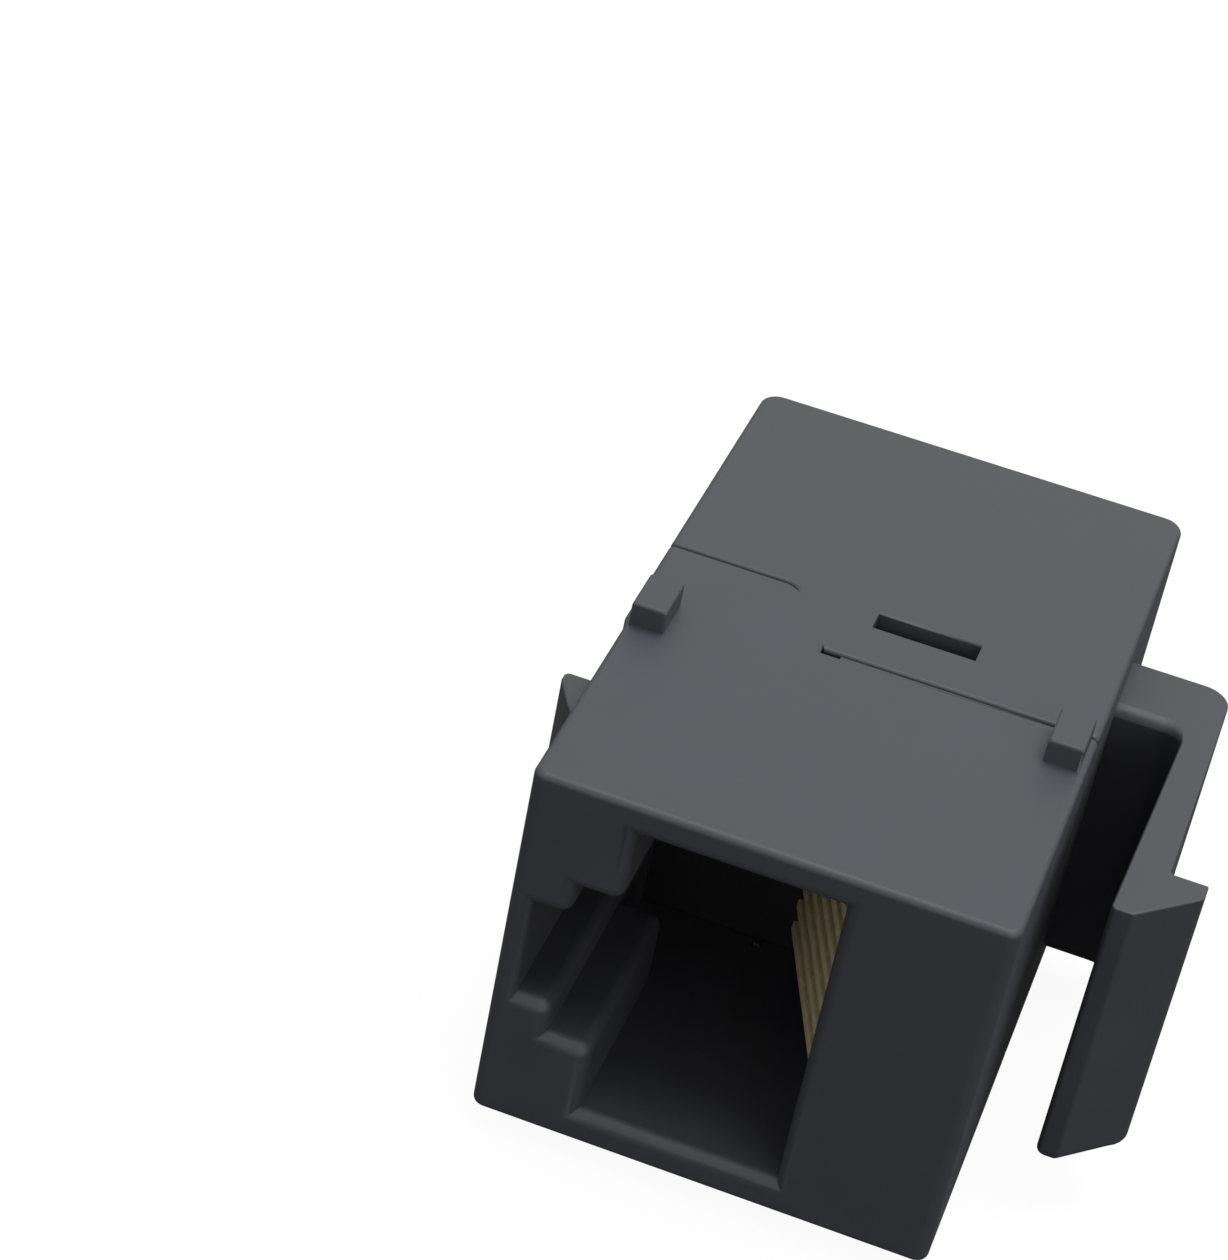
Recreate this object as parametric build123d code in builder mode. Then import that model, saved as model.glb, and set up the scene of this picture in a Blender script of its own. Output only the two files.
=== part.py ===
from build123d import *
from math import atan, cos, degrees, hypot, radians, sin
import os

# An inline coupler for modular network plugs, shaped to snap into a keystone panel opening.
# It lies on one side face: X runs from the fixed hook to the latch arm, Y runs from the
# front port to the rear port, Z runs across the plugs' width. All sizes are in millimetres.

# Body
body_height = 16.5
body_length = 27.0
body_width = 14.5
nose_step = 0.13
nose_step_length = 0.5
edge_round = 0.25
nose_corner_round = 0.45
rear_corner_round = 0.75

# Plug port, the same at both ends
port_edge = 3.85
port_height = 7.1
port_width = 12.0
clip_base_height = 1.6
clip_base_width = 6.4
clip_head_height = 1.3
clip_head_width = 3.9
clip_corner_round = 0.4
shoulder_length = 7.9
mouth_round = 0.5

# Core that the two housings close around: a board between two contact carriers
core_wall = 1.2
board_thickness = 1.0
plate_thickness = 1.0
core_clearance = 0.05

# Contacts and the comb that holds them apart
contact_count = 8
contact_pitch = 1.016
contact_width = 0.46
contact_thickness = 0.34
contact_front = 1.95
contact_bend = 0.75
contact_slope = 21.3
contact_reach = 2.75
contact_seat = 1.75
tail_length = 0.4
tail_clearance = 0.04
comb_front = 1.4
comb_margin = 0.31
slot_width = 0.62
slot_front_wall = 0.3

# Board holes, solder and the pegs that place the board
tail_hole_radius = 0.36
solder_base_radius = 0.46
solder_top_radius = 0.33
solder_height = 0.3
solder_sides = 8
relief_depth = 0.65
relief_margin = 0.2
peg_radius = 0.5
peg_length = 0.9
peg_edge = 0.85
peg_clearance = 0.05

# Seam between the two housings
seam_gap = 0.14
seam_slant_gap = 0.015
seam_lead = 0.42
seam_step_start = 4.75
seam_step_end = 6.75
seam_step_round = 0.8
seam_notch_start = 6.6
seam_notch_width = 0.7
seam_notch_depth = 0.15

# Spigot of the front housing, its barb and tab, and the windows they snap into
spigot_start = 6.95
spigot_wall = 0.6
spigot_root = 0.4
spigot_setback = 0.29
spigot_clearance = 0.05
window_start = 7.8
window_width = 3.75
window_length = 0.95
barb_height = 0.35
barb_clearance = 0.05
tab_start = 7.35
tab_width = 4.45
tab_clearance = 0.1
tab_setback = 0.25
tab_notch_width = 2.3

# Panel stops, fixed hook and latch arm
panel_space = 1.35
lug_inset = 0.25
lug_width = 1.25
lug_length = 2.05
lug_height = 0.9
lug_round = 0.12
snap_width = 11.2
snap_drop = 0.1
shoulder_front = 8.1
hook_reach = 1.25
hook_land = 0.45
hook_length = 2.8
hook_hollow = 0.08
hook_tip_round = 0.2
latch_gap = 2.55
arm_thickness = 1.12
arm_lean = 0.35
arm_nose_length = 2.8
arm_nose_round = 0.2
arm_edge_round = 0.45
tooth_height = 1.31
tooth_land = 0.78
tooth_corner_round = 0.55
tooth_root_round = 0.15
web_front = 16.4
web_thickness = 3.15
web_outer_round = 1.0
web_inner_round = 0.85
web_root = 0.4

# Places that follow from the sizes above, from the body's hook face and front face
lug_front = shoulder_front + panel_space
core_front = (body_length - board_thickness) / 2 - plate_thickness
board_front = core_front + plate_thickness
board_rear = board_front + board_thickness
core_rear = board_rear + plate_thickness
seam_hook_side = core_rear - seam_gap
seam_latch_side = core_front - seam_lead
spigot_end = core_rear - spigot_setback
window_rear = spigot_end + seam_gap
window_front = window_rear - window_length
tab_end = window_front - tab_setback
hook_start = shoulder_front - hook_length
arm_nose = shoulder_front - arm_nose_length

# The model's own frame: the origin lies under the middle of everything, on the lower lugs
latch_reach = latch_gap + arm_thickness + tooth_height
hook_face = (hook_reach - body_height - latch_reach) / 2
middle_x = hook_face + body_height / 2
front_y = -body_length / 2
low_side = lug_height
middle_z = low_side + body_width / 2
high_side = low_side + body_width
snap_low = middle_z - snap_width / 2 - snap_drop

# Offsets from the body's middle line, which serve the front end and the turned rear end
half_height = body_height / 2
port_low = port_edge - half_height
port_high = port_low + port_height
clip_base = port_low - clip_base_height
core_half_height = half_height - core_wall
core_half_width = body_width / 2 - core_wall
spigot_low = spigot_start - half_height
spigot_high = core_half_height + spigot_wall
clip_wall = port_edge - clip_base_height - clip_head_height
side_land = (body_width - port_width) / 2 - edge_round
mouth_radius = min(mouth_round, 0.75 * side_land)
front_clip_radius = min(mouth_radius, 0.75 * (clip_wall - nose_step - nose_corner_round))
rear_clip_radius = min(mouth_radius, 0.75 * (clip_wall - rear_corner_round))
comb_width = contact_count * contact_pitch + 2 * comb_margin
leg_line = port_high + contact_seat
leg_seat = leg_line + contact_thickness / 2
peg_row = core_half_height - peg_edge
peg_side = core_half_width - peg_edge
contact_rows = [(index - (contact_count - 1) / 2) * contact_pitch for index in range(contact_count)]

front_end = Plane(origin=(middle_x, front_y, middle_z), x_dir=(1, 0, 0), z_dir=(0, -1, 0))
rear_end = Plane(origin=(middle_x, -front_y, middle_z), x_dir=(-1, 0, 0), z_dir=(0, 1, 0))
ends = {"front": front_end, "rear": rear_end}

os.makedirs("parts", exist_ok=True)


def at_depth(end, depth):
    """An end's plane moved into the body."""
    return end.offset(-depth)


def level(height):
    """A level plane with x measured from the hook face and y from the front face."""
    return Plane(origin=(hook_face, front_y, height))


def level_at(end, height):
    """A level plane above the middle, with x as on the end's plane and y running inwards."""
    return Plane(origin=end.origin + Vector(0, 0, height), x_dir=end.x_dir, z_dir=(0, 0, 1))


def core_section(margin):
    """The section of the core, held back from its pocket's walls by a margin."""
    Rectangle(2 * (core_half_height - margin), 2 * (core_half_width - margin))


def spigot_section(margin):
    """The outer section of the spigot, let out by a margin."""
    with Locations((spigot_low - margin, 0)):
        Rectangle(
            spigot_high - spigot_low + 2 * margin,
            2 * (core_half_width + spigot_wall + margin),
            align=(Align.MIN, Align.CENTER),
        )


def comb_section(margin):
    """The section of the comb beside the port, held back from its pocket by a margin."""
    with Locations((port_high, 0)):
        Rectangle(
            core_half_height - port_high - margin,
            comb_width - 2 * margin,
            align=(Align.MIN, Align.CENTER),
        )


def lug_outlines():
    """The two panel stops of one side face."""
    with Locations((lug_inset, lug_front), (body_height - lug_inset - lug_width, lug_front)):
        Rectangle(lug_width, lug_length, align=(Align.MIN, Align.MIN))


def seam_zone(gap, slant_gap, notched):
    """The plan of everything ahead of the seam, with the seam moved rearwards by a gap and its
    slanted stretch moved square to itself by a gap of its own."""
    far = body_length
    run = seam_step_end - seam_step_start
    rise = seam_hook_side - seam_latch_side
    shift = (slant_gap * hypot(run, rise) - gap * run) / rise
    step_corner = (seam_step_start + shift, seam_hook_side + gap)
    with BuildSketch(level(0)) as zone:
        with BuildLine():
            Polyline(
                (-far, -far),
                (-far, seam_hook_side + gap),
                step_corner,
                (seam_step_end + shift, seam_latch_side + gap),
                (far, seam_latch_side + gap),
                (far, -far),
                close=True,
            )
        make_face()
        fillet(zone.vertices().sort_by_distance(step_corner)[0], seam_step_round)
        if notched:
            with Locations((seam_notch_start, seam_latch_side - seam_notch_depth)):
                Rectangle(seam_notch_width, far, align=(Align.MIN, Align.MIN), mode=Mode.SUBTRACT)
    return zone.sketch


def port_space(end):
    """The port from its mouth to the core: the plug's own form, the steps for its clip,
    the room behind the shoulders that the clip catches on, and the pocket for the comb."""
    with BuildPart() as space:
        with BuildSketch(end) as mouth:
            with Locations((port_low, 0)):
                Rectangle(port_height, port_width, align=(Align.MIN, Align.CENTER))
                Rectangle(clip_base_height, clip_base_width, align=(Align.MAX, Align.CENTER))
            with Locations((clip_base, 0)):
                Rectangle(clip_head_height, clip_head_width, align=(Align.MAX, Align.CENTER))
            for across, width in ((port_low, clip_base_width), (clip_base, clip_head_width)):
                for half in (-width / 2, width / 2):
                    corner = mouth.vertices().sort_by_distance((across, half))[0]
                    fillet(corner, clip_corner_round)
        extrude(amount=-core_front)
        with BuildSketch(at_depth(end, shoulder_length)):
            with Locations((clip_base, 0)):
                Rectangle(clip_base_height + port_height, port_width, align=(Align.MIN, Align.CENTER))
        extrude(amount=shoulder_length - core_front)
        with BuildSketch(at_depth(end, comb_front)):
            comb_section(0)
        extrude(amount=comb_front - core_front)
    return space.part


# Body block: one rounded box, set back a little on the hook side ahead of the panel stops
with BuildPart() as body_block:
    with BuildSketch(level(low_side)) as plan:
        with BuildLine():
            Polyline(
                (nose_step, 0),
                (body_height, 0),
                (body_height, body_length),
                (0, body_length),
                (0, lug_front + nose_step_length),
                (nose_step, lug_front),
                close=True,
            )
        make_face()
        fillet(plan.vertices().group_by(Axis.Y)[0], nose_corner_round)
        fillet(plan.vertices().group_by(Axis.Y)[-1], rear_corner_round)
    extrude(amount=body_width)
    fillet(body_block.faces().filter_by(Plane.XY).edges(), edge_round)

ahead_of_seam = seam_zone(0, 0, notched=True)
up_to_rear_housing = seam_zone(seam_gap, seam_slant_gap, notched=False)
whole_height = body_width + 2 * lug_height
port_spaces = {side: port_space(end) for side, end in ends.items()}

# Front housing: nose, panel stops, fixed hook, and the spigot that enters the rear housing
with BuildPart() as front_housing:
    add(body_block.part)
    extrude(ahead_of_seam, amount=whole_height, mode=Mode.INTERSECT)

    with BuildSketch(at_depth(front_end, seam_latch_side - spigot_root)):
        spigot_section(0)
    extrude(amount=seam_latch_side - spigot_root - spigot_end)
    with BuildSketch(level(low_side)):
        with Locations((tab_start, seam_latch_side - spigot_root)):
            Rectangle(tab_width, tab_end - seam_latch_side + spigot_root, align=(Align.MIN, Align.MIN))
    extrude(amount=core_wall - spigot_wall)

    with BuildSketch(at_depth(front_end, core_front)):
        core_section(0)
    extrude(amount=-body_length / 2, mode=Mode.SUBTRACT)
    add(port_spaces["front"], mode=Mode.SUBTRACT)
    mouth_edges = front_housing.faces().sort_by(Axis.Y)[0].inner_wires()[0].edges().sort_by(Axis.X)
    clip_middle = mouth_edges[0].center()
    fillet(mouth_edges[1:], mouth_radius)
    fillet(front_housing.edges().sort_by_distance(clip_middle)[0], front_clip_radius)

    spigot_top = high_side - core_wall + spigot_wall
    spigot_under = spigot_top - spigot_wall / 2
    barb_front = front_y + window_front + barb_clearance
    with BuildSketch(Plane.YZ.offset(hook_face + window_start + barb_clearance)):
        with BuildLine():
            Polyline(
                (barb_front, spigot_under),
                (barb_front, spigot_top + barb_height),
                (front_y + spigot_end, spigot_top),
                (front_y + spigot_end, spigot_under),
                close=True,
            )
        make_face()
    extrude(amount=window_width - 2 * barb_clearance)

    with BuildSketch(level(0)):
        lug_outlines()
    extrude(amount=lug_height + edge_round)
    with BuildSketch(level(high_side - edge_round)):
        lug_outlines()
    extrude(amount=lug_height + edge_round)
    fillet(front_housing.faces().filter_by(Plane.XY).group_by(Axis.Z)[0].edges(), lug_round)
    fillet(front_housing.faces().filter_by(Plane.XY).group_by(Axis.Z)[-1].edges(), lug_round)

    with BuildSketch(level(snap_low)) as hook_plan:
        with BuildLine():
            hook_foot = (nose_step, hook_start)
            hook_crest = (-hook_reach, shoulder_front - hook_land)
            SagittaArc(hook_foot, hook_crest, hook_hollow)
            Polyline(
                hook_crest,
                (-hook_reach, shoulder_front),
                (nose_step + edge_round, shoulder_front),
                (nose_step + edge_round, hook_start),
                hook_foot,
            )
        make_face()
        fillet(hook_plan.vertices().group_by(Axis.X)[0], hook_tip_round)
    extrude(amount=snap_width)
front_housing.part.label = "front_housing"
export_step(front_housing.part, "parts/front_housing.step")

# Rear housing: rear port, the sleeve around the spigot, and the latch arm moulded with it
with BuildPart() as rear_housing:
    add(body_block.part)
    extrude(up_to_rear_housing, amount=whole_height, mode=Mode.SUBTRACT)
    with BuildSketch(front_end):
        core_section(0)
    extrude(amount=-core_rear, mode=Mode.SUBTRACT)
    with BuildSketch(front_end):
        spigot_section(spigot_clearance)
    extrude(amount=-spigot_end - spigot_clearance, mode=Mode.SUBTRACT)
    add(port_spaces["rear"], mode=Mode.SUBTRACT)
    mouth_edges = rear_housing.faces().sort_by(Axis.Y)[-1].inner_wires()[0].edges().sort_by(Axis.X)
    clip_middle = mouth_edges[-1].center()
    fillet(mouth_edges[:-1], mouth_radius)
    fillet(rear_housing.edges().sort_by_distance(clip_middle)[0], rear_clip_radius)

    with BuildSketch(level(middle_z)):
        with Locations((window_start, window_front)):
            Rectangle(window_width, window_length, align=(Align.MIN, Align.MIN))
    extrude(amount=body_width / 2, mode=Mode.SUBTRACT)
    with BuildSketch(level(low_side)):
        slot_low = tab_start - tab_clearance
        slot_high = tab_start + tab_width + tab_clearance
        with Locations((slot_low, 0)):
            Rectangle(slot_high - slot_low, tab_end + tab_clearance, align=(Align.MIN, Align.MIN))
        with BuildLine():
            Polyline(
                (slot_high - tab_notch_width, tab_end),
                (slot_high, tab_end),
                (slot_high, window_rear),
                close=True,
            )
        make_face()
    extrude(amount=core_wall, mode=Mode.SUBTRACT)

    with BuildSketch(level(snap_low)) as arm_plan:
        arm_inner = body_height + latch_gap
        arm_outer = arm_inner + arm_thickness
        tooth_tip = arm_outer + tooth_height
        tooth_front = shoulder_front - tooth_land
        web_rear = web_front + web_thickness
        with BuildLine():
            Polyline(
                (body_height - web_root, web_rear),
                (arm_outer, web_rear),
                (arm_outer, shoulder_front),
                (tooth_tip, shoulder_front),
                (tooth_tip, tooth_front),
                (tooth_tip - (tooth_front - arm_nose), arm_nose),
                (arm_inner - arm_lean, arm_nose),
                (arm_inner, web_front),
                (body_height - web_root, web_front),
                close=True,
            )
        make_face()
        fillet(arm_plan.vertices().sort_by_distance((arm_outer, web_rear))[0], web_outer_round)
        fillet(arm_plan.vertices().sort_by_distance((arm_inner, web_front))[0], web_inner_round)
        fillet(arm_plan.vertices().sort_by_distance((arm_outer, shoulder_front))[0], tooth_root_round)
        fillet(arm_plan.vertices().group_by(Axis.Y)[0], arm_nose_round)
    extrude(amount=snap_width)
    tooth_face = rear_housing.faces().filter_by(Plane.YZ).sort_by(Axis.X)[-1]
    fillet(tooth_face.edges().sort_by(Axis.Z)[0], tooth_corner_round)
    arm_middle = ((2 * arm_inner - arm_lean) / 2, (arm_nose + web_front) / 2)
    arm_middle_low = level(snap_low).from_local_coords(arm_middle)
    fillet(rear_housing.edges().sort_by_distance(arm_middle_low)[0], arm_edge_round)
rear_housing.part.label = "rear_housing"
export_step(rear_housing.part, "parts/rear_housing.step")

# Contact carriers: a plate that closes the port, a comb for the contacts and pegs for the board
for side, end in ends.items():
    comb_face = comb_front + core_clearance
    slot_start = comb_face + slot_front_wall
    with BuildPart() as contact_carrier:
        with BuildSketch(at_depth(end, core_front)):
            core_section(core_clearance)
        extrude(amount=-plate_thickness)
        with BuildSketch(at_depth(end, comb_face)):
            comb_section(core_clearance)
        extrude(amount=comb_face - core_front)
        with BuildSketch(at_depth(end, slot_start)):
            with Locations(*[(port_high, row) for row in contact_rows]):
                Rectangle(leg_seat - port_high, slot_width, align=(Align.MIN, Align.CENTER))
        extrude(amount=slot_start - core_front, mode=Mode.SUBTRACT)
        with BuildSketch(at_depth(end, core_front)):
            with Locations(*[(leg_seat, row) for row in contact_rows]):
                Rectangle(
                    contact_thickness + tail_clearance,
                    contact_width + 2 * tail_clearance,
                    align=(Align.MAX, Align.CENTER),
                )
        extrude(amount=-plate_thickness, mode=Mode.SUBTRACT)
        with BuildSketch(at_depth(end, board_front)):
            with Locations((-leg_line, 0)):
                Rectangle(
                    2 * (solder_base_radius + relief_margin),
                    contact_count * contact_pitch + 2 * relief_margin,
                )
        extrude(amount=relief_depth, mode=Mode.SUBTRACT)
        with BuildSketch(at_depth(end, board_front)):
            with Locations((peg_row, peg_side), (peg_row, -peg_side)):
                Circle(peg_radius)
        extrude(amount=-peg_length)
    contact_carrier.part.label = f"{side}_contact_carrier"
    export_step(contact_carrier.part, f"parts/{side}_contact_carrier.step")

# Circuit board: it stands across the body and joins the two rows of contacts
with BuildPart() as circuit_board:
    with BuildSketch(at_depth(front_end, board_front)):
        core_section(2 * core_clearance)
        with Locations(*[(line, row) for line in (leg_line, -leg_line) for row in contact_rows]):
            Circle(tail_hole_radius, mode=Mode.SUBTRACT)
        with Locations(*[(line, row) for line in (peg_row, -peg_row) for row in (peg_side, -peg_side)]):
            Circle(peg_radius + peg_clearance, mode=Mode.SUBTRACT)
    extrude(amount=-board_thickness)
circuit_board.part.label = "circuit_board"
export_step(circuit_board.part, "parts/circuit_board.step")

# Contacts: each wire leaves the board, lies on its slot's floor, turns back near the mouth
# and slopes into the port, where the plug presses it
bend_centre = contact_front + contact_thickness / 2 + contact_bend
bend_end = leg_line - contact_bend * (1 + cos(radians(contact_slope)))
spring_tip = port_high - contact_reach
spring_length = (bend_end - spring_tip) / sin(radians(contact_slope))
for side, end in ends.items():
    for number, row in enumerate(contact_rows, start=1):
        with BuildPart() as contact:
            with BuildLine(level_at(end, row)) as wire:
                fixed_leg = Line((leg_line, board_rear + tail_length), (leg_line, bend_centre))
                turn = JernArc(fixed_leg @ 1, fixed_leg % 1, contact_bend, contact_slope - 180)
                PolarLine(turn @ 1, spring_length, direction=turn % 1)
            with BuildSketch(Plane(origin=fixed_leg @ 0, x_dir=(0, 0, 1), z_dir=fixed_leg % 0)):
                Rectangle(contact_width, contact_thickness)
            sweep(path=wire.line)
        contact.part.label = f"{side}_contact_{number}"
        export_step(contact.part, f"parts/{side}_contact_{number}.step")

# Solder joints: a small eight-sided cone round each tail, on the far side of the board
solder_taper = degrees(atan((solder_base_radius - solder_top_radius) / solder_height))
for side, end in ends.items():
    soldered_face = Plane(
        origin=at_depth(end, board_rear).origin,
        x_dir=end.x_dir,
        z_dir=-end.z_dir,
    )
    tails = [(leg_line, row) for row in contact_rows]
    with BuildPart() as solder_joints:
        with BuildSketch(soldered_face):
            with Locations(*tails):
                RegularPolygon(solder_base_radius, solder_sides)
        extrude(amount=solder_height, taper=solder_taper)
        with BuildSketch(soldered_face):
            with Locations(*tails):
                Rectangle(contact_thickness, contact_width)
        extrude(amount=solder_height, mode=Mode.SUBTRACT)
    solder_joints.part.label = f"{side}_solder_joints"
    export_step(solder_joints.part, f"parts/{side}_solder_joints.step")
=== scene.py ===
"""Dresses an inline network coupler that snaps into a keystone opening.

The coupler lies on one side face, with its front port towards the camera. The two housings get
softened edges and a moulded finish, the contact wires are swept along their bends, and the carriers,
the circuit board and its solder get finishes of their own. All lengths in the settings are in metres.
"""

from typing import NamedTuple

import bmesh
import bpy
import numpy as np
from bpy.props import FloatProperty, FloatVectorProperty, IntProperty, PointerProperty
from mathutils import Matrix, Vector
from mathutils.bvhtree import BVHTree


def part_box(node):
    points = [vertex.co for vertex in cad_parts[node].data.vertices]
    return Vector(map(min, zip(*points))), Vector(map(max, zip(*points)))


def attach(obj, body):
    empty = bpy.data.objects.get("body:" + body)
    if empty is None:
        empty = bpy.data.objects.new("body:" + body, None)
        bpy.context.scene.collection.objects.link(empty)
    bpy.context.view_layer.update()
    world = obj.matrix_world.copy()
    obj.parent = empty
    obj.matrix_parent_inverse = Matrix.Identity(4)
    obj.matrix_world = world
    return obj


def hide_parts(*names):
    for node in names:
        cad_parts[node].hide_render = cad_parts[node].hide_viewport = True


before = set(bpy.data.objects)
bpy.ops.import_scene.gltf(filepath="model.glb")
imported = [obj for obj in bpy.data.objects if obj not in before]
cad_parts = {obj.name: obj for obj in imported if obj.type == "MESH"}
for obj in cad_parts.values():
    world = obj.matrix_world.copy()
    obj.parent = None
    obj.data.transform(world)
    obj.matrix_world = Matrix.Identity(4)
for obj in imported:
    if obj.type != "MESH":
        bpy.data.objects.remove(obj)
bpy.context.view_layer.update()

bl_info = {
    "name": "Inline network coupler",
    "version": (1, 0, 0),
    "blender": (4, 5, 0),
    "location": "View3D > Sidebar > Coupler",
    "description": "Dresses the snap-in inline network coupler and sets its studio",
    "category": "Object",
}

MM = 0.001
BODY = "root"
# The body's side face behind the latch arm, which the web stands on
LATCH_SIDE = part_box("front_housing")[1].x
# Sizes of the rings at a wire's domed end, as shares of its section
DOME_RINGS = (0.25, 0.66, 0.87, 0.97, 1.0)
# Each end: its name in the frame, and the sign that turns its lengths to point into the port
ENDS = (("front", 1.0), ("rear", -1.0))


def from_screen(red, green, blue):
    """A colour given as it shows on a screen, from 0 to 255, as the linear values that shaders use:
    a straight line for the darkest tones and a power curve above them."""
    share = np.array([red, green, blue]) / 255
    return tuple(np.where(share <= 0.04045, share / 12.92, ((share + 0.055) / 1.055) ** 2.4))


# Materials


def blank_material(name, roughness, metallic=0.0):
    """A material with one principled shader, and the values that are the same all over it."""
    material = bpy.data.materials.new(name)
    material.use_nodes = True
    shader = material.node_tree.nodes["Principled BSDF"]
    shader.inputs["Roughness"].default_value = roughness
    shader.inputs["Metallic"].default_value = metallic
    return material, material.node_tree, shader


def object_millimetres(tree):
    """Object coordinates in millimetres, which every pattern here is measured in."""
    place = tree.nodes.new("ShaderNodeTexCoord")
    scale = tree.nodes.new("ShaderNodeMapping")
    scale.inputs["Scale"].default_value = (1 / MM,) * 3
    tree.links.new(place.outputs["Object"], scale.inputs["Vector"])
    return scale.outputs["Vector"]


def noise(tree, place, per_mm, detail=3.0, stretch=(1.0, 1.0, 1.0)):
    """Noise with so many spots to a millimetre, drawn out along the axes by a stretch."""
    if stretch != (1.0, 1.0, 1.0):
        drawn = tree.nodes.new("ShaderNodeMapping")
        drawn.inputs["Scale"].default_value = [1 / part for part in stretch]
        tree.links.new(place, drawn.inputs["Vector"])
        place = drawn.outputs["Vector"]
    texture = tree.nodes.new("ShaderNodeTexNoise")
    texture.inputs["Scale"].default_value = per_mm
    texture.inputs["Detail"].default_value = detail
    tree.links.new(place, texture.inputs["Vector"])
    return texture.outputs["Fac"]


def spread(tree, value, low, high, start=0.3, stop=0.7):
    """Carries a value from the range start to stop onto the range low to high. The usual start and
    stop suit noise, which keeps near its middle."""
    remap = tree.nodes.new("ShaderNodeMapRange")
    remap.inputs["From Min"].default_value = start
    remap.inputs["From Max"].default_value = stop
    remap.inputs["To Min"].default_value = low
    remap.inputs["To Max"].default_value = high
    tree.links.new(value, remap.inputs["Value"])
    return remap.outputs["Result"]


def mixed(tree, share, first, second):
    """A colour between two others; each is a plain colour or another node's output."""
    mix = tree.nodes.new("ShaderNodeMix")
    mix.data_type = "RGBA"
    # The node numbers its colour sockets after those of its other kinds
    share_input, first_input, second_input, result = 0, 6, 7, 2
    for value, number in ((share, share_input), (first, first_input), (second, second_input)):
        socket = mix.inputs[number]
        if isinstance(value, bpy.types.NodeSocket):
            tree.links.new(value, socket)
        elif isinstance(value, float):
            socket.default_value = value
        else:
            socket.default_value = (*value, 1.0)
    return mix.outputs[result]


def bumped(tree, shader, heights):
    """Stacks bumps, each a height and its depth in metres, and gives them to the shader."""
    normal = None
    for height, depth in heights:
        bump = tree.nodes.new("ShaderNodeBump")
        bump.inputs["Distance"].default_value = depth
        tree.links.new(height, bump.inputs["Height"])
        if normal is not None:
            tree.links.new(normal, bump.inputs["Normal"])
        normal = bump.outputs["Normal"]
    tree.links.new(normal, shader.inputs["Normal"])


def shades(colour, *shares):
    """A colour made darker or lighter, once by each share."""
    return [tuple(part * share for part in colour) for share in shares]


def moulded_plastic(name, colour, roughness, grain_depth):
    """Moulded plastic: faint clouds of tone, a fine spark-eroded grain and slight flow marks."""
    material, tree, shader = blank_material(name, roughness)
    place = object_millimetres(tree)
    dark, light, spark = shades(colour, 0.95, 1.05, 1.35)
    roughness_swing = 0.025
    flow_depth = 4 * grain_depth
    clouds = noise(tree, place, per_mm=0.35, detail=4.0)
    flow = noise(tree, place, per_mm=0.9, detail=2.0, stretch=(1.0, 6.0, 1.0))
    grain = noise(tree, place, per_mm=16.0, detail=2.0)
    tone = mixed(tree, spread(tree, clouds, low=0.0, high=1.0), dark, light)
    speckled = mixed(tree, spread(tree, grain, low=0.0, high=0.12), tone, spark)
    tree.links.new(speckled, shader.inputs["Base Color"])
    rough = spread(tree, clouds, roughness - roughness_swing, roughness + roughness_swing)
    tree.links.new(rough, shader.inputs["Roughness"])
    bumped(tree, shader, ((flow, flow_depth), (grain, grain_depth)))
    return material


def gold_plating(name, colour):
    """Plated spring wire: fine drawing lines along it, and dull patches where plugs have rubbed."""
    material, tree, shader = blank_material(name, roughness=0.4, metallic=0.3)
    place = object_millimetres(tree)
    dark, light, dull = shades(colour, 0.85, 1.05, 0.7)
    line_depth = 0.004 * MM
    lines = noise(tree, place, per_mm=14.0, detail=2.0, stretch=(1.0, 12.0, 1.0))
    patches = noise(tree, place, per_mm=1.3)
    plated = mixed(tree, spread(tree, lines, low=0.0, high=1.0), dark, light)
    dulled = mixed(tree, spread(tree, patches, low=0.0, high=0.4), plated, dull)
    tree.links.new(dulled, shader.inputs["Base Color"])
    tree.links.new(spread(tree, patches, low=0.34, high=0.48), shader.inputs["Roughness"])
    bumped(tree, shader, ((lines, line_depth),))
    return material


def board_laminate(name, colour, track_rows, track_width):
    """Green mask over a laminate, with a lighter stripe over the track at each contact row.

    A point's distance from its nearest row is its height over the first row, folded back and forth
    every half pitch. The stripe ends where that distance passes half the track's width, and fades
    over a small share of it on either side.
    """
    material, tree, shader = blank_material(name, roughness=0.35)
    place = object_millimetres(tree)
    dark, light, track_tone = shades(colour, 0.85, 1.1, 2.2)
    track_height = 0.03 * MM
    weave_depth = 0.005 * MM
    edge_share = 0.1
    weave = noise(tree, place, per_mm=6.0, detail=2.0)
    split = tree.nodes.new("ShaderNodeSeparateXYZ")
    tree.links.new(place, split.inputs[0])
    pitch = (track_rows[-1] - track_rows[0]) / (len(track_rows) - 1)
    from_row = tree.nodes.new("ShaderNodeMath")
    from_row.operation = "PINGPONG"
    from_row.inputs[1].default_value = pitch / 2
    shifted = tree.nodes.new("ShaderNodeMath")
    shifted.operation = "SUBTRACT"
    shifted.inputs[1].default_value = track_rows[0]
    tree.links.new(split.outputs["Z"], shifted.inputs[0])
    tree.links.new(shifted.outputs[0], from_row.inputs[0])
    half = track_width / 2
    start, stop = half * (1 - edge_share), half * (1 + edge_share)
    track = spread(tree, from_row.outputs[0], low=1.0, high=0.0, start=start, stop=stop)
    mask = mixed(tree, spread(tree, weave, low=0.0, high=1.0), dark, light)
    tree.links.new(mixed(tree, track, mask, track_tone), shader.inputs["Base Color"])
    bumped(tree, shader, ((track, track_height), (weave, weave_depth)))
    return material


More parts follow.
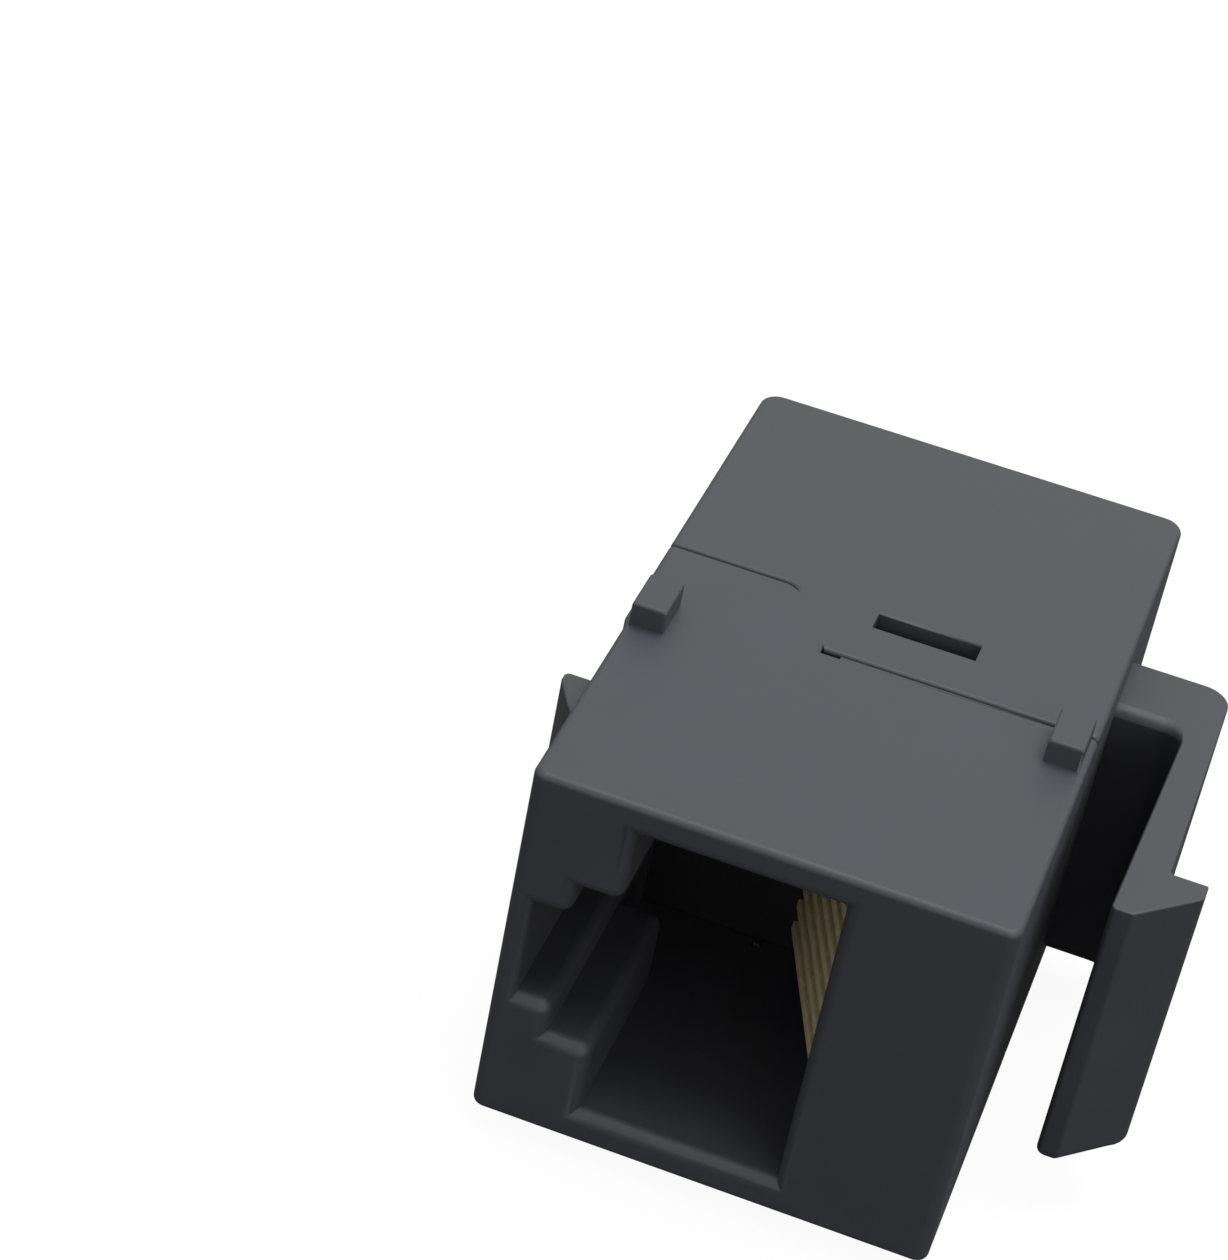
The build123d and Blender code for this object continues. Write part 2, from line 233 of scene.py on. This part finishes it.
def bright_solder(name, colour):
    """Reflowed solder: bright, with a faint frosting."""
    material, tree, shader = blank_material(name, roughness=0.22, metallic=1.0)
    dark, light = shades(colour, 0.85, 1.0)
    frost_depth = 0.006 * MM
    frost = noise(tree, object_millimetres(tree), per_mm=9.0)
    tone = mixed(tree, spread(tree, frost, low=0.0, high=1.0), dark, light)
    tree.links.new(tone, shader.inputs["Base Color"])
    tree.links.new(spread(tree, frost, low=0.18, high=0.34), shader.inputs["Roughness"])
    bumped(tree, shader, ((frost, frost_depth),))
    return material


def seen_share(tree, in_gloss):
    """How strongly a background shows: fully to the camera and through glass, by a share in
    reflections, and not at all in the light that it throws on matt surfaces."""
    path = tree.nodes.new("ShaderNodeLightPath")
    total = path.outputs["Is Camera Ray"]
    for ray, share in (("Is Transmission Ray", 1.0), ("Is Glossy Ray", in_gloss)):
        part = tree.nodes.new("ShaderNodeMath")
        part.operation = "MULTIPLY"
        part.inputs[1].default_value = share
        tree.links.new(path.outputs[ray], part.inputs[0])
        larger = tree.nodes.new("ShaderNodeMath")
        larger.operation = "MAXIMUM"
        tree.links.new(total, larger.inputs[0])
        tree.links.new(part.outputs[0], larger.inputs[1])
        total = larger.outputs[0]
    return total


def studio_floor(name, glow, albedo, in_gloss):
    """A pale floor that shows white, keeps the shadow on it and throws little light back up."""
    material = bpy.data.materials.new(name)
    material.use_nodes = True
    tree = material.node_tree
    tree.nodes.remove(tree.nodes["Principled BSDF"])
    output = tree.nodes["Material Output"]
    matt = tree.nodes.new("ShaderNodeBsdfDiffuse")
    light = tree.nodes.new("ShaderNodeEmission")
    both = tree.nodes.new("ShaderNodeAddShader")
    strength = tree.nodes.new("ShaderNodeMath")
    strength.operation = "MULTIPLY"
    strength.inputs[1].default_value = glow
    plain, pale = shades((albedo,) * 3, 1.0, 1.04)
    paper = noise(tree, object_millimetres(tree), per_mm=0.05, detail=2.0)
    tone = mixed(tree, spread(tree, paper, low=0.0, high=1.0), plain, pale)
    tree.links.new(tone, matt.inputs["Color"])
    tree.links.new(seen_share(tree, in_gloss), strength.inputs[0])
    tree.links.new(strength.outputs[0], light.inputs["Strength"])
    tree.links.new(matt.outputs[0], both.inputs[0])
    tree.links.new(light.outputs[0], both.inputs[1])
    tree.links.new(both.outputs[0], output.inputs["Surface"])
    return material


# Meshes


def finish_piece(piece, material, node):
    """Gives a piece its material and its body, and hides the frame's node that it stands for."""
    piece.data.materials.clear()
    piece.data.materials.append(material)
    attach(piece, BODY)
    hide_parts(node)


def ring_mesh(name, stacks):
    """A smooth closed mesh from stacks of rings, as an array of stacks, rings, points and x, y, z.

    Point j of ring i joins point j + 1 of the same ring and both of ring i + 1, the last point joins
    the first, and one many-sided face closes each stack at either end.
    """
    shape = stacks.shape[:3]
    index = np.arange(np.prod(shape)).reshape(shape)
    following = np.roll(index, -1, axis=2)
    sides = np.stack(
        [index[:, :-1], following[:, :-1], following[:, 1:], index[:, 1:]], axis=-1
    ).reshape(-1, 4)
    caps = np.concatenate([index[:, 0, ::-1], index[:, -1]])
    mesh = bpy.data.meshes.new(name)
    mesh.from_pydata(stacks.reshape(-1, 3), [], sides.tolist() + caps.tolist())
    mesh.shade_smooth()
    outward = bmesh.new()
    outward.from_mesh(mesh)
    bmesh.ops.recalc_face_normals(outward, faces=outward.faces)
    outward.to_mesh(mesh)
    outward.free()
    piece = bpy.data.objects.new(name, mesh)
    bpy.context.scene.collection.objects.link(piece)
    return piece


class Softness(NamedTuple):
    """How wide one moulding's edges are rounded, and the gaps that count as its seam, in metres."""

    edge: float
    seam: float = 0.0
    web: float = 0.0
    closed_gap: float = 0.0
    open_gap: float = 0.0


def web_share(edge, middle):
    """How squarely an edge of the latch web faces the gap beside the body: the forward part of the
    upright face's normal there, and nothing on edges beside or in front of the web."""
    if middle.x < LATCH_SIDE or middle.y < 0:
        return 0.0
    side = min((face.normal for face in edge.link_faces), key=lambda normal: abs(normal.z))
    return max(0.0, -side.y)


def mark_soft_edges(sheet, neighbour, softness, look):
    """Marks how wide each edge is rounded, as a share of the widest rounding, and gives that width.

    A sharp outward edge that a straight line leaves for the open takes the plain softness, and along
    an open seam the seam's softness, if its narrower face is wide enough to hold the rounding. An edge
    that the neighbour closes against stays sharp and moves over half the gap, so that a closed joint
    shows no groove. The latch web's front edges are rounded widest where they face the gap.
    """
    share = sheet.edges.layers.float.new("bevel_weight_edge")
    widest = max(softness.edge, softness.seam, softness.web)
    other = BVHTree.FromPolygons(
        [vertex.co for vertex in neighbour.vertices], [face.vertices for face in neighbour.polygons]
    )
    own = BVHTree.FromBMesh(sheet)
    closing = {}
    for edge in sheet.edges:
        if not (edge.is_manifold and edge.is_convex):
            continue
        if edge.calc_face_angle() < look.sharp_angle:
            continue
        middle = (edge.verts[0].co + edge.verts[1].co) / 2
        outward = (edge.link_faces[0].normal + edge.link_faces[1].normal).normalized()
        start = middle + outward * softness.edge
        if own.ray_cast(start, outward)[0] or other.ray_cast(start, outward)[0]:
            continue
        across, _, _, gap = other.find_nearest(middle)
        if gap < softness.closed_gap:
            closing.update({vertex: (across - middle) / 2 for vertex in edge.verts})
            continue
        width = softness.seam if gap < softness.open_gap else softness.edge
        width = max(width, softness.web * web_share(edge, middle))
        room = min(face.calc_area() for face in edge.link_faces) / edge.calc_length()
        if room > look.room * width:
            edge[share] = width / widest
    for vertex, half_gap in closing.items():
        vertex.co += half_gap
    return widest


def softened_copy(name, node, neighbour, softness, look):
    """A merged copy of a CAD node with its flat triangles joined and its sharp edges rounded.

    Each marked edge becomes a quarter circle of a few steps, as wide as its mark says. The normals
    lean to the large faces, so that these stay flat beside the roundings.
    """
    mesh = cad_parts[node].data.copy()
    mesh.name = name
    sheet = bmesh.new()
    sheet.from_mesh(mesh)
    bmesh.ops.remove_doubles(sheet, verts=sheet.verts, dist=look.smallest_edge)
    bmesh.ops.dissolve_limit(
        sheet, angle_limit=look.flat_angle, verts=sheet.verts, edges=sheet.edges
    )
    widest = mark_soft_edges(sheet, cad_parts[neighbour].data, softness, look)
    sheet.to_mesh(mesh)
    sheet.free()
    if mesh.attributes.get("custom_normal"):
        mesh.attributes.remove(mesh.attributes["custom_normal"])
    mesh.shade_smooth()
    mesh.set_sharp_from_angle(angle=look.sharp_angle)
    piece = bpy.data.objects.new(name, mesh)
    bpy.context.scene.collection.objects.link(piece)
    bevel = piece.modifiers.new("Soft edges", "BEVEL")
    bevel.width = widest
    bevel.segments = look.edge_segments
    bevel.limit_method = "WEIGHT"
    bevel.use_clamp_overlap = False
    weighted = piece.modifiers.new("Flat faces", "WEIGHTED_NORMAL")
    weighted.keep_sharp = True
    return piece


def rounded_section(width, thickness, corner, points):
    """A rectangle with round corners as a superellipse: each side's distance is the cosine or the
    sine of the angle round it, raised to two over the corner's exponent and keeping its sign."""
    turn = np.linspace(0, 2 * np.pi, points, endpoint=False)
    cosine, sine = np.cos(turn), np.sin(turn)
    across = width / 2 * np.sign(cosine) * np.abs(cosine) ** (2 / corner)
    through = thickness / 2 * np.sign(sine) * np.abs(sine) ** (2 / corner)
    return across, through


def contact_nodes(end):
    """The frame's names for the contacts of one end."""
    start = f"{end}_contact_"
    return sorted(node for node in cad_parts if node.startswith(start) and node[-1].isdigit())


def contact_rows(end):
    """The heights of one end's contacts."""
    boxes = [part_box(node) for node in contact_nodes(end)]
    return sorted((low.z + high.z) / 2 for low, high in boxes)


def wire_path(low, high, turned, look):
    """The middle line of one contact wire and its outward direction, in the plane of its bend.

    A straight leg runs from the board to the bend. The bend is an arc of one radius that turns the
    wire back by half a turn less the spring's slope. The spring runs straight on from the arc's end
    until its tip meets the wire's own box.
    """
    corners = turned * np.array([[low.x, low.y], [high.x, high.y]])
    (tip_edge, front), (leg_edge, tail) = corners.min(axis=0), corners.max(axis=0)
    half, slope, radius = look.thickness / 2, look.slope, look.bend_radius
    centre = np.array([leg_edge - half - radius, front + half + radius])
    turn = np.linspace(0, np.pi - slope, look.bend_steps)
    arc = centre + radius * np.stack([np.cos(turn), -np.sin(turn)], axis=1)
    arc_out = np.stack([np.cos(turn), -np.sin(turn)], axis=1)
    tip = tip_edge + half * np.cos(slope)
    spring_length = (arc[-1, 0] - tip) / np.sin(slope)
    along = np.array([-np.sin(slope), np.cos(slope)])
    spring = arc[-1] + np.linspace(0, spring_length, look.leg_steps)[1:, None] * along
    leg_along = np.linspace(tail, centre[1], look.leg_steps)[:-1]
    leg = np.stack([np.full_like(leg_along, leg_edge - half), leg_along], axis=1)
    path = np.concatenate([leg, arc, spring])
    out = np.concatenate([
        np.tile(arc_out[0], (len(leg), 1)),
        arc_out,
        np.tile(arc_out[-1], (len(spring), 1)),
    ])
    return turned * path, turned * out


def wire_rings(path, out, height, section, dome):
    """The section carried along the path, one ring to each point, with both ends drawn in to a dome:
    a ring of a given size lies as deep as the dome's depth times one less the root of one less the
    size squared, which is a quarter circle."""
    across, through = section
    rings = np.empty((len(path), len(across), 3))
    rings[..., :2] = path[:, None, :] + out[:, None, :] * through[None, :, None]
    rings[..., 2] = height + across[None, :]
    size = np.array(DOME_RINGS)
    depth = dome * (1 - np.sqrt(1 - size**2))
    for end, inner in ((0, 1), (-1, -2)):
        inward = path[inner] - path[end]
        inward = inward / np.linalg.norm(inward)
        middle = np.array([*path[end], height])
        caps = middle + size[:, None, None] * (rings[end] - middle)
        caps[..., :2] += depth[:, None, None] * inward
        rings = np.concatenate([caps, rings[1:]] if end == 0 else [rings[:-1], caps[::-1]])
    return rings


def solder_rings(board_face, points_out, legs, rows, look):
    """Menisci round the tails, by turning a profile: the radius falls from the base to the top as a
    power of the share of the height that is left, so the sides are hollow."""
    share = np.linspace(0, 1, look.rise_steps)
    radius = look.top_radius + (look.base_radius - look.top_radius) * (1 - share) ** look.hollow
    turn = np.linspace(0, 2 * np.pi, look.round_steps, endpoint=False)
    rings = np.empty((len(rows), len(share), len(turn), 3))
    rings[..., 0] = legs + radius[None, :, None] * np.cos(turn)
    rings[..., 1] = board_face + points_out * (look.height * share)[None, :, None]
    rings[..., 2] = np.array(rows)[:, None, None] + radius[None, :, None] * np.sin(turn)
    return rings


# Stage


def make_floor(look):
    """A flat square under the coupler."""
    half = look.floor_size / 2
    corners = np.array([[-half, -half, 0], [half, -half, 0], [half, half, 0], [-half, half, 0]])
    mesh = bpy.data.meshes.new("floor")
    mesh.from_pydata(corners, [], [(0, 1, 2, 3)])
    paper = studio_floor("studio_floor", look.floor_glow, look.floor_albedo, look.floor_in_gloss)
    mesh.materials.append(paper)
    floor = bpy.data.objects.new("floor", mesh)
    bpy.context.scene.collection.objects.link(floor)


def make_world(scene, look):
    """White where the background shows, and a low even light for everything else."""
    world = bpy.data.worlds.new("studio")
    world.use_nodes = True
    tree = world.node_tree
    background = tree.nodes["Background"]
    background.inputs["Color"].default_value = (1, 1, 1, 1)
    white = seen_share(tree, look.surround_in_gloss)
    strength = spread(tree, white, low=look.ambient, high=1.0, start=0.0, stop=1.0)
    tree.links.new(strength, background.inputs["Strength"])
    scene.world = world


def make_sun(name, source, strength, width):
    """A distant light that shines from one direction, and how wide it is as an angle."""
    lamp = bpy.data.lights.new(name, "SUN")
    lamp.energy = strength
    lamp.angle = width
    sun = bpy.data.objects.new(name, lamp)
    sun.rotation_euler = Vector(source).to_track_quat("Z", "Y").to_euler()
    bpy.context.scene.collection.objects.link(sun)


def make_camera(look):
    """The camera, aimed by azimuth and elevation and then rolled about its line of sight."""
    data = bpy.data.cameras.new("camera")
    data.sensor_fit = "VERTICAL"
    data.sensor_height = look.sensor / MM
    data.sensor_width = look.sensor / MM
    data.lens = look.focal / MM
    data.clip_start = look.near_limit
    camera = bpy.data.objects.new("camera", data)
    aim = (
        Matrix.Rotation(look.azimuth, 4, "Z")
        @ Matrix.Rotation(np.pi / 2 - look.elevation, 4, "X")
        @ Matrix.Rotation(look.roll, 4, "Z")
    )
    camera.matrix_world = Matrix.Translation(look.camera_place) @ aim
    bpy.context.scene.collection.objects.link(camera)
    return camera


# Settings


def number(name, description, default):
    """A setting that is a plain number."""
    return FloatProperty(name=name, description=description, default=default)


def count(name, description, default):
    """A setting that is a whole number."""
    return IntProperty(name=name, description=description, default=default, min=1)


def length(name, description, default):
    """A length setting in metres."""
    return FloatProperty(name=name, description=description, default=default, unit="LENGTH", precision=5)


def angle(name, description, degrees):
    """An angle setting, given in degrees."""
    return FloatProperty(
        name=name, description=description, default=np.radians(degrees), subtype="ANGLE"
    )


def direction(name, description, default):
    """A setting for where something comes from, as a vector of any length."""
    return FloatVectorProperty(name=name, description=description, default=default, subtype="XYZ")


def colour(name, description, default):
    """A colour setting, given as it shows on a screen."""
    return FloatVectorProperty(
        name=name, description=description, default=from_screen(*default), subtype="COLOR", min=0, max=1
    )


class MouldingLook:
    """Settings that every moulding has, mixed into its own settings"""

    room: number("Room", "Face width that a rounding needs, in roundings", 2.0)
    smallest_edge: length("Smallest edge", "Points nearer than this are merged", 0.012 * MM)
    sharp_angle: angle("Sharp from", "Angle from which an edge is sharp", 32)
    flat_angle: angle("Flat to", "Angle up to which faces are joined as flat", 0.2)


class HousingLook(MouldingLook, bpy.types.PropertyGroup):
    """Finish and soft edges of the two housings"""

    plastic: colour("Plastic", "Colour of the two housings", (55, 56, 62))
    roughness: number("Roughness", "How dull the plastic is", 0.55)
    grain_depth: length("Grain depth", "Depth of the mould's grain", 0.0035 * MM)
    edge_softness: length("Edge softness", "Width of the rounding on sharp edges", 0.06 * MM)
    web_softness: length("Web softness", "Rounding of the latch web's front edges", 0.42 * MM)
    seam_softness: length("Seam softness", "Rounding of the rear housing's seam edge", 0.13 * MM)
    closed_seam: length("Closed seam", "Gap up to which a seam counts as closed", 0.05 * MM)
    open_seam: length("Open seam", "Gap up to which an edge is part of the seam", 0.2 * MM)
    edge_segments: count("Edge steps", "Steps across a soft edge", 3)


class CarrierLook(MouldingLook, bpy.types.PropertyGroup):
    """Finish and soft edges of the contact carriers"""

    plastic: colour("Plastic", "Colour of the contact carriers", (18, 18, 21))
    roughness: number("Roughness", "How dull the plastic is", 0.5)
    grain_depth: length("Grain depth", "Depth of the mould's grain", 0.003 * MM)
    edge_softness: length("Edge softness", "Width of the rounding on sharp edges", 0.04 * MM)
    edge_segments: count("Edge steps", "Steps across a soft edge", 2)


class WireLook(bpy.types.PropertyGroup):
    """Section, bend and plating of the contact wires"""

    plating: colour("Plating", "Colour of the contact wires", (255, 240, 190))
    width: length("Width", "Width of a wire", 0.46 * MM)
    thickness: length("Thickness", "Thickness of a wire", 0.34 * MM)
    bend_radius: length("Bend radius", "Radius of the bend at the wire's middle", 0.75 * MM)
    slope: angle("Slope", "Slope of the spring", 21.3)
    corner: number("Corner", "Exponent of the section's corners", 5.0)
    dome: length("Dome", "Length of the rounding at a wire's ends", 0.08 * MM)
    bend_steps: count("Bend steps", "Rings round the bend", 22)
    leg_steps: count("Leg steps", "Rings along a straight stretch", 6)
    section_points: count("Section points", "Points round a wire", 28)


class BoardLook(bpy.types.PropertyGroup):
    """Colours of the circuit board, and shape of its solder joints"""

    mask: colour("Mask", "Colour of the board's mask", (30, 92, 58))
    track_width: length("Track width", "Width of a track under the mask", 0.5 * MM)
    solder: colour("Solder", "Colour of the solder", (205, 207, 210))
    base_radius: length("Base radius", "Radius of a joint at the board", 0.46 * MM)
    top_radius: length("Top radius", "Radius of a joint at its top", 0.3 * MM)
    height: length("Height", "Height of a joint", 0.3 * MM)
    hollow: number("Hollow", "How hollow a joint's side is", 2.2)
    rise_steps: count("Rise steps", "Rings up a joint", 8)
    round_steps: count("Round steps", "Points round a joint", 28)


class StageLook(bpy.types.PropertyGroup):
    """Floor, lights and camera"""

    floor_size: length("Floor size", "Side of the floor", 6.0)
    floor_glow: number("Floor glow", "How white the floor shows", 0.94)
    floor_albedo: number("Floor albedo", "Share of light that the floor throws back up", 0.07)
    floor_in_gloss: number("Floor in gloss", "Share of the floor's white in reflections", 0.04)
    surround_in_gloss: number(
        "Surroundings in gloss", "Share of the white surroundings in reflections", 0.95
    )
    ambient: number("Ambient", "Strength of the light from all round", 0.36)
    lamp_angle: angle("Lamp size", "How wide each lamp is, as seen from the coupler", 45)
    key_strength: number("Key", "Strength of the light from above", 2.45)
    key_from: direction("Key from", "Where the key light shines from", (0.16, 0.12, 1.0))
    fill_strength: number("Fill", "Strength of the light from the latch side", 0.76)
    fill_from: direction("Fill from", "Where the fill light shines from", (0.85, -0.85, 0.3))
    side_strength: number("Side", "Strength of the light from the hook side", 0.18)
    side_from: direction("Side from", "Where the side light shines from", (-0.8, -1.0, 0.5))
    focal: length("Focal length", "Lens of the camera", 0.10294)
    sensor: length("Sensor height", "Height of the camera's picture", 0.036)
    near_limit: length("Near limit", "Nearest distance that the camera shows", 0.001)
    azimuth: angle("Azimuth", "Turn of the camera round the coupler", 12.273)
    elevation: angle("Elevation", "Height of the camera over the floor", 34.589)
    roll: angle("Roll", "Tilt of the picture", 11.271)
    camera_place: FloatVectorProperty(
        name="Camera",
        description="Place of the camera",
        default=(0.011189, -0.102842, 0.084681),
        unit="LENGTH",
    )


class CouplerSettings(bpy.types.PropertyGroup):
    """All settings of the coupler and its stage"""

    housing: PointerProperty(type=HousingLook)
    carrier: PointerProperty(type=CarrierLook)
    wire: PointerProperty(type=WireLook)
    board: PointerProperty(type=BoardLook)
    stage: PointerProperty(type=StageLook)


# Operators


class COUPLER_OT_housings(bpy.types.Operator):
    """Make the two housings, with soft edges and a moulded finish"""

    bl_idname = "coupler.housings"
    bl_label = "Housings"

    def execute(self, context):
        look = context.scene.coupler.housing
        plastic = moulded_plastic("housing_plastic", look.plastic, look.roughness, look.grain_depth)
        seam_edges = (("front", "rear", look.edge_softness), ("rear", "front", look.seam_softness))
        for end, other, seam in seam_edges:
            node = f"{end}_housing"
            softness = Softness(
                look.edge_softness, seam, look.web_softness, look.closed_seam, look.open_seam
            )
            shell = softened_copy(f"{node}_shell", node, f"{other}_housing", softness, look)
            finish_piece(shell, plastic, node)
        return {"FINISHED"}


class COUPLER_OT_carriers(bpy.types.Operator):
    """Make the two contact carriers"""

    bl_idname = "coupler.carriers"
    bl_label = "Contact carriers"

    def execute(self, context):
        look = context.scene.coupler.carrier
        plastic = moulded_plastic("carrier_plastic", look.plastic, look.roughness, look.grain_depth)
        for end, _ in ENDS:
            node = f"{end}_contact_carrier"
            comb = softened_copy(
                f"{end}_comb", node, "circuit_board", Softness(look.edge_softness), look
            )
            finish_piece(comb, plastic, node)
        return {"FINISHED"}


class COUPLER_OT_contacts(bpy.types.Operator):
    """Make the contact wires, each swept along its bend"""

    bl_idname = "coupler.contacts"
    bl_label = "Contact wires"

    def execute(self, context):
        look = context.scene.coupler.wire
        gold = gold_plating("gold_plating", look.plating)
        section = rounded_section(look.width, look.thickness, look.corner, look.section_points)
        for end, turned in ENDS:
            for node in contact_nodes(end):
                low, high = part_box(node)
                path, out = wire_path(low, high, turned, look)
                rings = wire_rings(path, out, (low.z + high.z) / 2, section, look.dome)
                wire = ring_mesh(node.replace("contact", "wire"), rings[None])
                finish_piece(wire, gold, node)
        return {"FINISHED"}


class COUPLER_OT_board(bpy.types.Operator):
    """Finish the circuit board and make its solder joints"""

    bl_idname = "coupler.board"
    bl_label = "Circuit board"

    def execute(self, context):
        look = context.scene.coupler.board
        rows = contact_rows("front")
        track_rows = [row / MM for row in rows]
        laminate = board_laminate("board_laminate", look.mask, track_rows, look.track_width / MM)
        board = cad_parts["circuit_board"]
        board.data.materials.clear()
        board.data.materials.append(laminate)
        solder = bright_solder("bright_solder", look.solder)
        for end, turned in ENDS:
            low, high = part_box(f"{end}_solder_joints")
            face = low.y if turned > 0 else high.y
            rings = solder_rings(face, turned, (low.x + high.x) / 2, rows, look)
            joints = ring_mesh(f"{end}_solder", rings)
            finish_piece(joints, solder, f"{end}_solder_joints")
        return {"FINISHED"}


class COUPLER_OT_stage(bpy.types.Operator):
    """Set the floor, the lights and the camera"""

    bl_idname = "coupler.stage"
    bl_label = "Studio"

    def execute(self, context):
        look = context.scene.coupler.stage
        make_floor(look)
        make_world(context.scene, look)
        make_sun("key_light", look.key_from, look.key_strength, look.lamp_angle)
        make_sun("fill_light", look.fill_from, look.fill_strength, look.lamp_angle)
        make_sun("side_light", look.side_from, look.side_strength, look.lamp_angle)
        context.scene.camera = make_camera(look)
        context.scene.view_settings.view_transform = "Standard"
        return {"FINISHED"}


class COUPLER_PT_panel(bpy.types.Panel):
    """Lists the settings and the operators in the 3D view's sidebar"""

    bl_idname = "COUPLER_PT_panel"
    bl_label = "Inline coupler"
    bl_space_type = "VIEW_3D"
    bl_region_type = "UI"
    bl_category = "Coupler"

    def draw(self, context):
        settings = context.scene.coupler
        for look, operator in (
            (settings.housing, COUPLER_OT_housings),
            (settings.carrier, COUPLER_OT_carriers),
            (settings.wire, COUPLER_OT_contacts),
            (settings.board, COUPLER_OT_board),
            (settings.stage, COUPLER_OT_stage),
        ):
            box = self.layout.box()
            for name in look.bl_rna.properties.keys():
                if name not in ("name", "rna_type"):
                    box.prop(look, name)
            box.operator(operator.bl_idname)


CLASSES = (
    HousingLook,
    CarrierLook,
    WireLook,
    BoardLook,
    StageLook,
    CouplerSettings,
    COUPLER_OT_housings,
    COUPLER_OT_carriers,
    COUPLER_OT_contacts,
    COUPLER_OT_board,
    COUPLER_OT_stage,
    COUPLER_PT_panel,
)


def register():
    """Makes the classes and the scene's settings known to Blender."""
    for item in CLASSES:
        bpy.utils.register_class(item)
    bpy.types.Scene.coupler = PointerProperty(type=CouplerSettings)


def unregister():
    """Takes the settings and the classes out again."""
    del bpy.types.Scene.coupler
    for item in reversed(CLASSES):
        bpy.utils.unregister_class(item)


def main():
    """Makes every piece and the stage."""
    register()
    bpy.ops.coupler.stage()
    bpy.ops.coupler.housings()
    bpy.ops.coupler.carriers()
    bpy.ops.coupler.contacts()
    bpy.ops.coupler.board()


if __name__ == "__main__":
    main()
